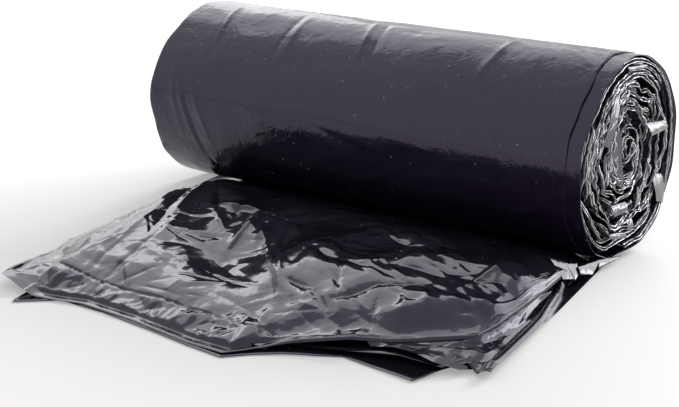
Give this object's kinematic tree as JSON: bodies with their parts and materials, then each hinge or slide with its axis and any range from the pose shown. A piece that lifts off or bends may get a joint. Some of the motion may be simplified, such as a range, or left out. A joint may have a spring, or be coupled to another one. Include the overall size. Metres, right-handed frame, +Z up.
{
  "type": "bin bag roll",
  "caption": "Roll of folded black plastic bin bags lying on its side, with the first bag pulled out in front, for lining a waste bin.",
  "frame": {"origin": "on the floor, in the middle of the flat spot that the roll rests on", "axes": "+X along the roll, towards the end whose turns the picture shows; +Z up; the pulled out bag runs towards -Y"},
  "size_m": [0.2524, 0.2288, 0.086],
  "materials": {
    "black_film": "thin glossy black polythene film, creased and crumpled"
  },
  "bodies": {
    "root": {"bin_bag_roll": "black_film"}
  },
  "joints": []
}
